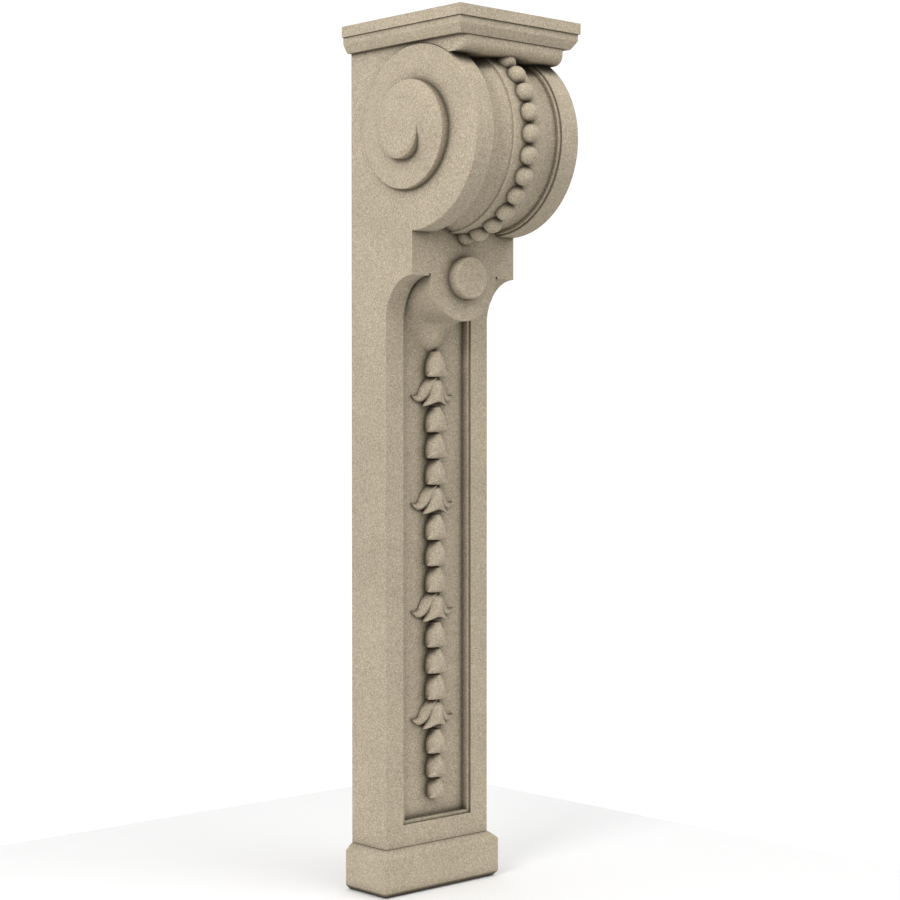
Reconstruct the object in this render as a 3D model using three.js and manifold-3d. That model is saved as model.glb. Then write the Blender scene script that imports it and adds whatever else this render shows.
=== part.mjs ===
// Decorative corbel of cast stone: a panelled leg that ends in a scroll, on a plinth block, under a cap slab.
// Millimetres. +Z is up, the front faces -Y, and the flat back lies on the wall plane Y = 0.
// Heights are given above the plinth's underside. The last lines set the origin half-way up the back.

import * as THREE from 'three';
import { mergeVertices } from 'three/addons/utils/BufferGeometryUtils.js';
import Module from 'manifold-3d';

const wasm = await Module();
wasm.setup();

// Whole object
const TOTAL_HEIGHT = 1257.5;
const STONE_COLOR = 0xb9ac94;
const STONE_ROUGHNESS = 0.9;

// Plinth block
const PLINTH_HALF_WIDTH = 113;
const PLINTH_DEPTH = 88.5;
const PLINTH_HEIGHT = 68;
const FOOT_CHAMFER = 7;
const SHOULDER_START = 57.5;
const SHOULDER_INSET = 8.5;
const SHOULDER_END = 65.5;
const PLINTH_TOP_INSET = 12.5;

// Leg, and the cove and block that carry the scroll
const LEG_HALF_WIDTH = 100;
const LEG_DEPTH = 76.5;
const LEG_TOP = 1220;
const BLOCK_DEPTH = 133;
const COVE_BOTTOM = 832;
const COVE_TOP = 894.5;

// Quarter-round tier between the scroll and the cap
const TIER_DEPTH = 236;
const TIER_BOTTOM = 1199.25;
const TIER_ROUND = 14;

// Sunk panel: a shallow outer step, then the deeper field
const PANEL_HALF_WIDTH = 67;
const PANEL_BOTTOM = 100;
const PANEL_STEP = 3.25;
const PANEL_LEDGE = 5;
const PANEL_DEPTH = 14;
const CUT_FRONT = 200;

// Tongue that hangs from the block into the panel, and its boss
const TONGUE_RADIUS = 64;
const TONGUE_CENTRE = 895;
const TONGUE_ROOT = 20;
const BOSS_RADIUS = 30;
const BOSS_CENTRE = 893;
const BOSS_RISE = 19;

// Flare under the tongue, as contours: how far each stands out from the field, spreads beyond the tongue's
// edge, and reaches down from the tongue's centre into the stem of the first bud
const FLARE_CONTOURS = [
  [-3, 24, 112],
  [0, 20, 110],
  [4, 13.5, 108],
  [10, 8, 103],
  [15, 5, 96],
  [20, 3, 85],
  [28, 1.5, 76],
  [40, 0.4, 69],
  [55, -0.4, 65],
];
const STEM_TURN = 0.23;
const FLARE_HALF_WIDTH = 63;

// Scroll
const SCROLL_RADIUS = 133.5;
const SCROLL_FORWARD = 132.5;
const SCROLL_HEIGHT = 1089.5;
const SCROLL_SIDES = 60;
const RIM_INNER = 67;
const RIM_STEP = 3.25;
const FLUTE_EDGE = 62;
const FLUTE_DEPTH = 8.5;
const FLUTE_SAG = 2.5;
const FLUTE_LIFT = 2.25;
const BAND_HALF_WIDTH = 28;

// Beads along the middle of the scroll
const BEAD_COUNT = 12;
const BEAD_RADIUS = 14.25;
const BEAD_CIRCLE = 135;
const FIRST_BEAD_ANGLE = 1.5;
const BEAD_PITCH = 12.57;

// Volute on each side face: a spiral ramp that climbs outward from the rim to a raised eye
const VOLUTE_FORWARD = 134.25;
const VOLUTE_HEIGHT = 1102;
const VOLUTE_RADIUS = 151;
const VOLUTE_SHRINK = 0.55;
const VOLUTE_START = 0.25;
const VOLUTE_END = 2.25;
const VOLUTE_FADE = 0.3;
const VOLUTE_RISE = 14;
const VOLUTE_ROOT = 6;
const VOLUTE_STEPS = 24;
const VOLUTE_CORE = 8;

// Husk drop on the panel: a first bud, then groups of one leafy husk and three buds
const HUSK_TOP = 790;
const BUD_LENGTH = 39;
const LEAF_LENGTH = 43;
const HUSK_GROUPS = 4;
const BUDS_IN_GROUP = 3;
const TAIL_SCALES = [0.92, 0.95, 0.7];
const BUD_HALF_WIDTH = 22;
const BUD_RISE = 19.5;
const PETAL_HALF_WIDTH = 24;
const LEAF_REACH = 43;
const LEAF_HALF_WIDTH = 8.5;
const LEAF_TIP_HALF_WIDTH = 1;
const HUSK_ROOT = 3;
const HUSK_OVERLAP = 4;
const HUSK_UNDERCUT = 0.5;
const BELL_WIDEST = 1 / 3;

// Bends of a side leaf, as shares of its reach, its length and a bud's rise
const LEAF_TURN = 0.42;
const LEAF_FIRST_DIP = 0.1;
const LEAF_TIP_DIP = 0.5;
const LEAF_ROOT_RISE = 0.8;
const LEAF_TIP_FALL = 0.5;
const LEAF_FULLNESS = 0.7;

// Cap slab
const CAP_HALF_WIDTH = 118;
const CAP_DEPTH = 252.25;
const CAP_BAND = 15.5;
const CAP_STEP = 2.75;
const CAP_FACE_BOTTOM = 1232.5;
const CAP_SOFFIT_INSET = 10.5;
const CAP_BEVEL_BULGE = 1.2;

// Facets of the rounded forms
const COVE_STEPS = 8;
const TONGUE_STEPS = 24;
const FLARE_STEPS = 28;
const BOSS_STEPS = 28;
const BEVEL_STEPS = 5;
const FLUTE_STEPS = 4;
const BEAD_MERIDIANS = 10;
const BEAD_PARALLELS = 6;
const BELL_SIDES = 6;
const LEAF_STEPS = 6;

const QUARTER = Math.PI / 2;
const HALF_TURN = 0.5;

// A closed geometry as a solid that can be joined and cut, with its faces turned outward.
function solid(geometry) {
  const bare = geometry.clone();
  bare.deleteAttribute('normal');
  bare.deleteAttribute('uv');
  const merged = mergeVertices(bare);
  const points = merged.attributes.position;
  const corner = (i) => new THREE.Vector3().fromBufferAttribute(points, i);
  const kept = [];
  let volume = 0;
  for (let i = 0; i < merged.index.count; i += 3) {
    const [a, b, c] = merged.index.array.slice(i, i + 3);
    if (a !== b && b !== c && c !== a) {
      kept.push(a, b, c);
      volume += corner(a).dot(corner(b).cross(corner(c)));
    }
  }
  if (volume < 0) {
    kept.reverse();
  }
  const vertProperties = new Float32Array(points.array);
  const triVerts = new Uint32Array(kept);
  return new wasm.Manifold(new wasm.Mesh({ numProp: 3, vertProperties, triVerts }));
}

// All solids of a list joined into one.
function join(solids) {
  return solids.reduce((whole, next) => whole.add(next));
}

// A closed skin through a row of sections with equal point counts, flat at both ends.
function loft(sections) {
  const count = sections[0].length;
  const last = (sections.length - 1) * count;
  const index = [];
  for (let row = 0; row < last; row += count) {
    for (let point = 0; point < count; point += 1) {
      const a = row + point;
      const b = row + ((point + 1) % count);
      index.push(a, b, b + count);
      index.push(a, b + count, a + count);
    }
  }
  for (let point = 1; point + 1 < count; point += 1) {
    index.push(0, point + 1, point);
    index.push(last, last + point, last + point + 1);
  }
  return solid(new THREE.BufferGeometry().setFromPoints(sections.flat()).setIndex(index));
}

// A side profile of (forward, height) points carried across the width, centred on X = 0.
function acrossWidth(shape, halfWidth, curveSegments) {
  const depth = 2 * halfWidth;
  const geometry = new THREE.ExtrudeGeometry(shape, { depth, bevelEnabled: false, curveSegments });
  const forward = new THREE.Vector3(0, -1, 0);
  const up = new THREE.Vector3(0, 0, 1);
  const left = new THREE.Vector3(-1, 0, 0);
  geometry.applyMatrix4(new THREE.Matrix4().makeBasis(forward, up, left));
  return solid(geometry.translate(halfWidth, 0, 0));
}

// A front outline of (across, height) points carried forward from one depth to another.
function towardsFront(shape, from, to, curveSegments) {
  const depth = to - from;
  const geometry = new THREE.ExtrudeGeometry(shape, { depth, bevelEnabled: false, curveSegments });
  return solid(geometry.rotateX(QUARTER).translate(0, -from, 0));
}

// A moulding round left, front and right: one flat-backed rectangle for each (inset, height) of its profile.
function wrapped(halfWidth, depth, profile) {
  const sections = profile.map(([inset, height]) => {
    const x = halfWidth - inset;
    const y = inset - depth;
    return [
      new THREE.Vector3(-x, 0, height),
      new THREE.Vector3(-x, y, height),
      new THREE.Vector3(x, y, height),
      new THREE.Vector3(x, 0, height),
    ];
  });
  return loft(sections);
}

function plinthBlock() {
  return wrapped(PLINTH_HALF_WIDTH, PLINTH_DEPTH, [
    [FOOT_CHAMFER, 0],
    [0, FOOT_CHAMFER],
    [0, SHOULDER_START],
    [SHOULDER_INSET, SHOULDER_END],
    [PLINTH_TOP_INSET, PLINTH_HEIGHT],
  ]);
}

function capSlab() {
  const profile = [[CAP_SOFFIT_INSET, LEG_TOP]];
  for (let i = 1; i < BEVEL_STEPS; i += 1) {
    const s = i / BEVEL_STEPS;
    const bulge = CAP_BEVEL_BULGE * Math.sin(Math.PI * s);
    const inset = THREE.MathUtils.lerp(CAP_SOFFIT_INSET, CAP_STEP, s) - bulge;
    profile.push([inset, THREE.MathUtils.lerp(LEG_TOP, CAP_FACE_BOTTOM, s)]);
  }
  profile.push([CAP_STEP, CAP_FACE_BOTTOM]);
  profile.push([CAP_STEP, TOTAL_HEIGHT - CAP_BAND]);
  profile.push([0, TOTAL_HEIGHT - CAP_BAND]);
  profile.push([0, TOTAL_HEIGHT]);
  return wrapped(CAP_HALF_WIDTH, CAP_DEPTH, profile);
}

// Leg, cove, block and tier as one side profile. The scroll is joined to it afterwards.
function legBlank() {
  const roundCentre = TIER_BOTTOM + TIER_ROUND;
  const shape = new THREE.Shape();
  shape.moveTo(0, PLINTH_HEIGHT);
  shape.lineTo(LEG_DEPTH, PLINTH_HEIGHT);
  shape.lineTo(LEG_DEPTH, COVE_BOTTOM);
  const coveDepth = BLOCK_DEPTH - LEG_DEPTH;
  const coveHeight = COVE_TOP - COVE_BOTTOM;
  shape.absellipse(BLOCK_DEPTH, COVE_BOTTOM, coveDepth, coveHeight, Math.PI, QUARTER, true);
  shape.lineTo(BLOCK_DEPTH, TIER_BOTTOM);
  shape.lineTo(TIER_DEPTH - TIER_ROUND, TIER_BOTTOM);
  shape.absarc(TIER_DEPTH - TIER_ROUND, roundCentre, TIER_ROUND, -QUARTER, 0, false);
  shape.lineTo(TIER_DEPTH, LEG_TOP);
  shape.lineTo(0, LEG_TOP);
  return acrossWidth(shape, LEG_HALF_WIDTH, COVE_STEPS);
}

// Space that the panel takes out of the leg: flat below, and parallel to the cove above.
function panelCut(depth, ledge) {
  const bottom = PANEL_BOTTOM + ledge;
  const top = COVE_TOP + depth;
  const shape = new THREE.Shape();
  shape.moveTo(LEG_DEPTH - depth, bottom);
  shape.lineTo(LEG_DEPTH - depth, COVE_BOTTOM);
  const coveDepth = BLOCK_DEPTH - LEG_DEPTH + depth;
  shape.absellipse(BLOCK_DEPTH, COVE_BOTTOM, coveDepth, top - COVE_BOTTOM, Math.PI, QUARTER, true);
  shape.lineTo(CUT_FRONT, top);
  shape.lineTo(CUT_FRONT, bottom);
  return acrossWidth(shape, PANEL_HALF_WIDTH - ledge, COVE_STEPS);
}

// Round-ended apron that fills the head of the panel, flush with the block.
function tongue() {
  const shape = new THREE.Shape();
  const top = TONGUE_CENTRE + TONGUE_ROOT;
  shape.moveTo(-TONGUE_RADIUS, top);
  shape.lineTo(-TONGUE_RADIUS, TONGUE_CENTRE);
  shape.absarc(0, TONGUE_CENTRE, TONGUE_RADIUS, Math.PI, 2 * Math.PI, false);
  shape.lineTo(TONGUE_RADIUS, top);
  return towardsFront(shape, LEG_DEPTH - PANEL_DEPTH - HUSK_ROOT, BLOCK_DEPTH, TONGUE_STEPS);
}

function boss() {
  const shape = new THREE.Shape();
  shape.absarc(0, BOSS_CENTRE, BOSS_RADIUS, 0, 2 * Math.PI, false);
  return towardsFront(shape, BLOCK_DEPTH - HUSK_ROOT, BLOCK_DEPTH + BOSS_RISE, BOSS_STEPS);
}

// Turns a body made about the Y axis at the origin to lie across the leg on the scroll's axis.
function onScrollAxis(geometry) {
  return solid(geometry.rotateZ(-QUARTER).translate(0, -SCROLL_FORWARD, SCROLL_HEIGHT));
}

// Drum of the scroll: plain rims, a stepped ledge, a hollow flute and a flat middle band.
function scrollDrum() {
  const half = [
    [0, LEG_HALF_WIDTH],
    [SCROLL_RADIUS, LEG_HALF_WIDTH],
    [SCROLL_RADIUS, RIM_INNER],
    [SCROLL_RADIUS - RIM_STEP, RIM_INNER],
    [SCROLL_RADIUS - RIM_STEP, FLUTE_EDGE],
  ];
  for (let i = 0; i <= FLUTE_STEPS; i += 1) {
    const s = i / FLUTE_STEPS;
    const sag = FLUTE_SAG * Math.sin(Math.PI * s);
    const depth = THREE.MathUtils.lerp(FLUTE_DEPTH, FLUTE_LIFT, s) + sag;
    half.push([SCROLL_RADIUS - depth, THREE.MathUtils.lerp(FLUTE_EDGE, BAND_HALF_WIDTH, s)]);
  }
  half.push([SCROLL_RADIUS, BAND_HALF_WIDTH]);
  const mirrored = half.map(([radius, across]) => [radius, -across]).reverse();
  const profile = [...half, ...mirrored].map(([radius, across]) => new THREE.Vector2(radius, across));
  return onScrollAxis(new THREE.LatheGeometry(profile, SCROLL_SIDES));
}

function beads() {
  const row = [];
  for (let i = 0; i < BEAD_COUNT; i += 1) {
    const angle = THREE.MathUtils.degToRad(FIRST_BEAD_ANGLE + i * BEAD_PITCH);
    const forward = SCROLL_FORWARD + BEAD_CIRCLE * Math.sin(angle);
    const height = SCROLL_HEIGHT - BEAD_CIRCLE * Math.cos(angle);
    const ball = new THREE.SphereGeometry(BEAD_RADIUS, BEAD_MERIDIANS, BEAD_PARALLELS).rotateX(-angle);
    row.push(solid(ball.translate(0, -forward, height)));
  }
  return join(row);
}

// Radius of the volute's edge, and its rise over the side face, some turns on from the scroll's lowest point.
function voluteRadius(turn) {
  return VOLUTE_RADIUS * Math.exp(-VOLUTE_SHRINK * turn);
}

function voluteHeight(turn) {
  return VOLUTE_RISE * (turn - VOLUTE_START);
}

// One radial section of the ramp. Its inner edge lifts where the spiral runs out into the flat eye.
function voluteSection(turn, side) {
  const lastTurn = VOLUTE_END - 1;
  const height = voluteHeight(turn);
  const lift = THREE.MathUtils.clamp((turn - lastTurn) / VOLUTE_FADE + 1, 0, 1);
  const inner = THREE.MathUtils.lerp(height, voluteHeight(Math.min(turn + 1, VOLUTE_END)), lift);
  const innerRadius = voluteRadius(Math.min(turn + 1, VOLUTE_END));
  const section = [
    [VOLUTE_CORE, -VOLUTE_ROOT],
    [voluteRadius(turn), -VOLUTE_ROOT],
    [voluteRadius(turn), height],
    [innerRadius, inner],
    [VOLUTE_CORE, inner],
  ];
  const angle = 2 * Math.PI * turn;
  return section.map(([radius, rise]) => new THREE.Vector3(
    side * (LEG_HALF_WIDTH + rise),
    -VOLUTE_FORWARD - radius * Math.sin(angle),
    VOLUTE_HEIGHT - radius * Math.cos(angle),
  ));
}

// Ramp of one side in half turns, with a round core at the eye, trimmed to the scroll's rim.
function volute(side) {
  const pieces = [];
  for (let start = VOLUTE_START; start < VOLUTE_END; start += HALF_TURN) {
    const end = Math.min(start + HALF_TURN, VOLUTE_END);
    const steps = Math.ceil((end - start) * VOLUTE_STEPS);
    const sections = [];
    for (let i = 0; i <= steps; i += 1) {
      sections.push(voluteSection(THREE.MathUtils.lerp(start, end, i / steps), side));
    }
    pieces.push(loft(sections));
  }
  const rise = voluteHeight(VOLUTE_END);
  const length = rise + VOLUTE_ROOT;
  const core = new THREE.CylinderGeometry(2 * VOLUTE_CORE, 2 * VOLUTE_CORE, length, VOLUTE_STEPS);
  const middle = side * (LEG_HALF_WIDTH + rise - length / 2);
  pieces.push(solid(core.rotateZ(-QUARTER).translate(middle, -VOLUTE_FORWARD, VOLUTE_HEIGHT)));
  const reach = 2 * (LEG_HALF_WIDTH + length);
  const rim = new THREE.CylinderGeometry(SCROLL_RADIUS, SCROLL_RADIUS, reach, SCROLL_SIDES);
  return join(pieces).intersect(onScrollAxis(rim));
}

// Rounded relief on the panel field, from rows of (share of length, of half-width, of rise) down its length.
// Each section is part of an ellipse whose flanks turn in under its widest line.
function bellRelief(top, length, halfWidth, rise, rows) {
  const field = LEG_DEPTH - PANEL_DEPTH;
  const sections = rows.map(([down, wide, proud]) => {
    const x = halfWidth * wide;
    const z = top - length * down;
    const middle = rise * proud * BELL_WIDEST;
    const ring = [];
    for (let i = 0; i <= BELL_SIDES; i += 1) {
      const angle = THREE.MathUtils.lerp(-HUSK_UNDERCUT, Math.PI + HUSK_UNDERCUT, i / BELL_SIDES);
      const height = middle + (rise * proud - middle) * Math.sin(angle);
      ring.push(new THREE.Vector3(-x * Math.cos(angle), -field - height, z));
    }
    const foot = ring[BELL_SIDES].x;
    ring.push(new THREE.Vector3(foot, HUSK_ROOT - field, z));
    ring.push(new THREE.Vector3(-foot, HUSK_ROOT - field, z));
    return ring;
  });
  return loft(sections);
}

// Hollow flare from the tongue's edge to the field, drawn down in the middle into the stem of the first bud.
function flare() {
  const field = LEG_DEPTH - PANEL_DEPTH;
  const sections = FLARE_CONTOURS.map(([stand, spread, reach]) => {
    const contour = [new THREE.Vector3(0, -field - stand, TONGUE_CENTRE)];
    for (let i = 0; i <= FLARE_STEPS; i += 1) {
      const angle = Math.PI * (1 + i / FLARE_STEPS);
      const middle = Math.exp(-(((angle - 3 * QUARTER) / STEM_TURN) ** 2));
      const radius = THREE.MathUtils.lerp(TONGUE_RADIUS + spread, reach, middle);
      const x = THREE.MathUtils.clamp(radius * Math.cos(angle), -FLARE_HALF_WIDTH, FLARE_HALF_WIDTH);
      contour.push(new THREE.Vector3(x, -field - stand, TONGUE_CENTRE + radius * Math.sin(angle)));
    }
    return contour;
  });
  return loft(sections);
}

// Bell-shaped bud: a rounded head that hangs from under its neighbour and flares at the lip.
function bud(top, scale) {
  const rows = [
    [0, 0.3, 0.35],
    [0.14, 0.56, 0.72],
    [0.36, 0.71, 0.96],
    [0.66, 0.74, 1],
    [0.86, 0.83, 0.97],
    [1, 1, 0.86],
  ];
  const length = BUD_LENGTH * scale + HUSK_OVERLAP;
  return bellRelief(top + HUSK_OVERLAP, length, BUD_HALF_WIDTH * scale, BUD_RISE * scale, rows);
}

// Pointed middle petal of a leafy husk, wide at its lower tips.
function petal(top) {
  const rows = [
    [0, 0.15, 0.35],
    [0.2, 0.3, 0.8],
    [0.45, 0.46, 1],
    [0.75, 0.68, 0.95],
    [1, 1, 0.75],
  ];
  return bellRelief(top + HUSK_OVERLAP, LEAF_LENGTH, PETAL_HALF_WIDTH, BUD_RISE, rows);
}

// Side leaf of a leafy husk: a ridged blade that sweeps down and out to an upturned point.
function sideLeaf(top, side) {
  const field = LEG_DEPTH - PANEL_DEPTH;
  const crest = new THREE.CubicBezierCurve(
    new THREE.Vector2(0, top + HUSK_OVERLAP),
    new THREE.Vector2(LEAF_REACH * LEAF_TURN, top - LEAF_LENGTH * LEAF_FIRST_DIP),
    new THREE.Vector2(LEAF_REACH * LEAF_TURN, top - LEAF_LENGTH),
    new THREE.Vector2(LEAF_REACH, top - LEAF_LENGTH * LEAF_TIP_DIP),
  );
  const sections = [];
  for (let i = 0; i <= LEAF_STEPS; i += 1) {
    const s = i / LEAF_STEPS;
    const middle = crest.getPoint(s);
    const along = crest.getTangent(s);
    const half = LEAF_TIP_HALF_WIDTH + LEAF_HALF_WIDTH * Math.sin(Math.PI * s) ** LEAF_FULLNESS;
    const rise = BUD_RISE * (LEAF_ROOT_RISE - LEAF_TIP_FALL * s * s);
    const section = [[-1, HUSK_ROOT], [-1, 0], [0, -rise], [1, 0], [1, HUSK_ROOT]];
    sections.push(section.map(([share, sink]) => new THREE.Vector3(
      side * (middle.x - share * half * along.y),
      sink - field,
      middle.y + share * half * along.x,
    )));
  }
  return loft(sections);
}

function huskDrop() {
  const drop = [bud(HUSK_TOP, 1)];
  let top = HUSK_TOP - BUD_LENGTH;
  for (let group = 0; group < HUSK_GROUPS; group += 1) {
    drop.push(petal(top), sideLeaf(top, 1), sideLeaf(top, -1));
    top -= LEAF_LENGTH;
    for (let i = 0; i < BUDS_IN_GROUP; i += 1) {
      const scale = group + 1 < HUSK_GROUPS ? 1 : TAIL_SCALES[i];
      drop.push(bud(top, scale));
      top -= BUD_LENGTH * scale;
    }
  }
  return join(drop);
}

function scrollLeg() {
  const panelled = legBlank()
    .subtract(panelCut(PANEL_STEP, 0))
    .subtract(panelCut(PANEL_DEPTH, PANEL_LEDGE));
  const front = [tongue(), boss(), flare(), huskDrop()];
  const scroll = [scrollDrum(), beads(), volute(1), volute(-1)];
  const carved = join([panelled, ...front, ...scroll]);
  const slab = 2 * SCROLL_RADIUS;
  const wall = new THREE.BoxGeometry(2 * slab, slab, TOTAL_HEIGHT).translate(0, slab / 2, TOTAL_HEIGHT / 2);
  const above = new THREE.BoxGeometry(2 * slab, 2 * slab, slab).translate(0, -slab / 2, LEG_TOP + slab / 2);
  return carved.subtract(solid(wall)).subtract(solid(above));
}

function stoneMesh(name, body) {
  const { vertProperties, triVerts } = body.getMesh();
  const geometry = new THREE.BufferGeometry();
  geometry.setAttribute('position', new THREE.BufferAttribute(vertProperties, 3));
  geometry.setIndex(new THREE.BufferAttribute(triVerts, 1));
  geometry.computeVertexNormals();
  const finish = { color: STONE_COLOR, roughness: STONE_ROUGHNESS, metalness: 0 };
  const stone = new THREE.MeshStandardMaterial(finish);
  const piece = new THREE.Mesh(geometry, stone);
  piece.name = name;
  return piece;
}

const corbel = new THREE.Group();
corbel.name = 'decorative_corbel';
corbel.add(stoneMesh('plinth_block', plinthBlock()));
corbel.add(stoneMesh('scroll_leg', scrollLeg()));
corbel.add(stoneMesh('cap_slab', capSlab()));

// The wall mount is the middle of the flat back.
corbel.position.z = -TOTAL_HEIGHT / 2;

export default corbel;
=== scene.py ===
# %% [markdown]
# # A corbel of cast stone
#
# The real corbel is three stones. A low plinth block stands at the bottom, a tall leg rises from it and ends
# in a great scroll, and a moulded cap slab lies on top. The back of all three is flat, because it is set
# against a wall.
#
# The solids of the three stones come in as a fixed frame, in metres, with the wall plane at Y = 0, the front
# towards -Y and Z upwards. Each step below models one form of the stones more finely than the solids hold
# it, in the place that the frame gives. The last steps join the carving of the leg into one piece, as it was
# cast.

# %% Load the frame
from math import copysign, cos, exp, pi, radians, sin

import bmesh
import bpy
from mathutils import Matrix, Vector


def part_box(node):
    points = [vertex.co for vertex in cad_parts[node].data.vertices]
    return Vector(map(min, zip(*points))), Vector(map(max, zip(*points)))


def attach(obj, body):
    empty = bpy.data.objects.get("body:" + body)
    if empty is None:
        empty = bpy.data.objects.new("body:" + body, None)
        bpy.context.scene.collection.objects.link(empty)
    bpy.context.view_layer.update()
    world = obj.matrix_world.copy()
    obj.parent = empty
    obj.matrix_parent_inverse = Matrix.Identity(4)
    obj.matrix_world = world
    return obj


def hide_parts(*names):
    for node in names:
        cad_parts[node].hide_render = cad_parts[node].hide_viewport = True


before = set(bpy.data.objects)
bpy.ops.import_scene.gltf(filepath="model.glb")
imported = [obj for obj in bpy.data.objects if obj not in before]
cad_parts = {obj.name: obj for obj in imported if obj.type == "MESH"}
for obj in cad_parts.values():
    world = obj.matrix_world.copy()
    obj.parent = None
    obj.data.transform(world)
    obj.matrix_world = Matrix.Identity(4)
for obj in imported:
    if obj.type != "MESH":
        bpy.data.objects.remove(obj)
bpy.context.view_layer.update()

plinth_low, plinth_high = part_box("plinth_block")
cap_low, cap_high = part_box("cap_slab")
bpy.ops.object.select_all(action="DESELECT")
print("stones:", sorted(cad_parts), "height", round(cap_high.z - plinth_low.z, 4))

# %% [markdown]
# ## The camera
#
# The picture was taken from the left of the front, a little above the middle of the leg, with a long lens
# that keeps the edges nearly parallel. A camera could be aimed by eye, but the edges of the stones fix it:
# its place, its turn and its lens were worked out so that the corners of the plinth, leg and cap fall where
# the picture has them.

# %% Camera at the picture's angle
CAMERA_PLACE = (-2.0006, -2.2781, 0.0918)
CAMERA_TILT = radians(88.5241)
CAMERA_TURN = radians(-42.6123)
LENS_MM = 81.094
SENSOR_MM = 36

bpy.ops.object.camera_add(location=CAMERA_PLACE, rotation=(CAMERA_TILT, 0, CAMERA_TURN))
camera = bpy.context.object
camera.name = "picture_camera"
camera.data.lens = LENS_MM
camera.data.sensor_width = SENSOR_MM
bpy.context.scene.camera = camera
print("camera lens", LENS_MM, "mm at", CAMERA_PLACE)

# %% [markdown]
# ## Floor and light
#
# The stone is shown on white, in light so soft that it casts hardly any shadow. The floor is a plain pale
# sheet under the plinth. It could be a whole room, but a small sheet is enough to ground the stone, and
# white takes over where it ends.

# %% Pale floor
FLOOR_SIZE = 1.2
FLOOR_TONE = (0.95, 0.95, 0.95, 1)
FLOOR_ROUGHNESS = 0.9

bpy.ops.mesh.primitive_plane_add(size=FLOOR_SIZE, location=(0, 0, plinth_low.z))
floor = bpy.context.object
floor.name = "floor"
floor_paint = bpy.data.materials.new("floor_paint")
floor_paint.use_nodes = True
floor_shader = floor_paint.node_tree.nodes["Principled BSDF"]
floor_shader.inputs["Base Color"].default_value = FLOOR_TONE
floor_shader.inputs["Roughness"].default_value = FLOOR_ROUGHNESS
floor.data.materials.append(floor_paint)
print("floor of", FLOOR_SIZE, "m at", round(plinth_low.z, 4))

# %% [markdown]
# ### White surround
#
# Light without shadows comes from everywhere, as in a white tent. It could come from a ring of lamps, but
# the world's own background gives it at once. The upper half is a little brighter than the lower one, with a
# soft blend at the horizon, and what the camera itself sees of the background is pure white.

# %% White surround
UPPER_LIGHT = 0.82
LOWER_LIGHT = 0.62
BACKDROP_LIGHT = 1.05
HORIZON_BLEND = 0.3
WHITE = (1, 1, 1, 1)

world = bpy.data.worlds.new("studio")
world.use_nodes = True
bpy.context.scene.world = world
sky = world.node_tree.nodes
sky_links = world.node_tree.links
direction = sky.new("ShaderNodeTexCoord")
upward = sky.new("ShaderNodeSeparateXYZ")
sky_links.new(direction.outputs["Generated"], upward.inputs[0])
light = sky.new("ShaderNodeMapRange")
light.interpolation_type = "SMOOTHSTEP"
light.inputs["From Min"].default_value = -HORIZON_BLEND
light.inputs["From Max"].default_value = HORIZON_BLEND
light.inputs["To Min"].default_value = LOWER_LIGHT
light.inputs["To Max"].default_value = UPPER_LIGHT
sky_links.new(upward.outputs["Z"], light.inputs["Value"])
seen = sky.new("ShaderNodeLightPath")
strength = sky.new("ShaderNodeMix")
strength.inputs["B"].default_value = BACKDROP_LIGHT
sky_links.new(seen.outputs["Is Camera Ray"], strength.inputs["Factor"])
sky_links.new(light.outputs["Result"], strength.inputs["A"])
sky["Background"].inputs["Color"].default_value = WHITE
sky_links.new(strength.outputs["Result"], sky["Background"].inputs["Strength"])
bpy.context.scene.view_settings.view_transform = "Standard"
print("surround from", LOWER_LIGHT, "below to", UPPER_LIGHT, "above")

# %% [markdown]
# ### Soft lamps
#
# In even light alone the carving would look flat. Two lamps give every form a lighter and a darker side: the
# left face is the lighter one. Small lamps would throw hard shadows, so these are nearly as large as the
# stone.

# %% Large soft lamps
LEFT_LAMP = {"location": (-1.8, -0.6, 1.1), "size": 0.8, "power": 18}
FRONT_LAMP = {"location": (0.4, -1.2, 1.7), "size": 1.2, "power": 10}


def soft_lamp(name, location, size, power):
    """A square lamp that faces the middle of the corbel."""
    bpy.ops.object.light_add(type="AREA", location=location)
    lamp = bpy.context.object
    lamp.name = name
    lamp.rotation_euler = (-Vector(location)).to_track_quat("-Z", "Y").to_euler()
    lamp.data.size = size
    lamp.data.energy = power


soft_lamp("left_lamp", **LEFT_LAMP)
soft_lamp("front_lamp", **FRONT_LAMP)
print("lamps of", LEFT_LAMP["power"], "and", FRONT_LAMP["power"], "watts")

# %% [markdown]
# ## The finish: sandy cast stone
#
# Cast stone is cement and crushed stone pressed into a mould. A picture of its sandy face could be pasted
# on, but a pattern made by nodes has no seams and runs through all three stones in the same size. The next
# cells wire it up layer by layer. A few helpers come first, so that each layer takes only a line or two.

# %% Stone material and helpers for its nodes
stone_finish = bpy.data.materials.new("cast_stone")
stone_finish.use_nodes = True
stone_nodes = stone_finish.node_tree.nodes
stone_shader = stone_nodes["Principled BSDF"]
UNIT = (0, 1)
FLIPPED = (1, 0)


def wire(source, output, target, entry):
    """Link an output of one node to an input of another."""
    stone_finish.node_tree.links.new(source.outputs[output], target.inputs[entry])


def remap(source, output, span, result):
    """A value within one span spread over another, and held at its ends."""
    spread = stone_nodes.new("ShaderNodeMapRange")
    spread.inputs["From Min"].default_value, spread.inputs["From Max"].default_value = span
    spread.inputs["To Min"].default_value, spread.inputs["To Max"].default_value = result
    wire(source, output, spread, "Value")
    return spread


def scale_colour(colour, output, factor):
    """A colour made lighter or darker by a remapped value."""
    scaled = stone_nodes.new("ShaderNodeVectorMath")
    scaled.operation = "SCALE"
    wire(colour, output, scaled, 0)
    wire(factor, "Result", scaled, "Scale")
    return scaled


print("finish", stone_finish.name, "started")

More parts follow.
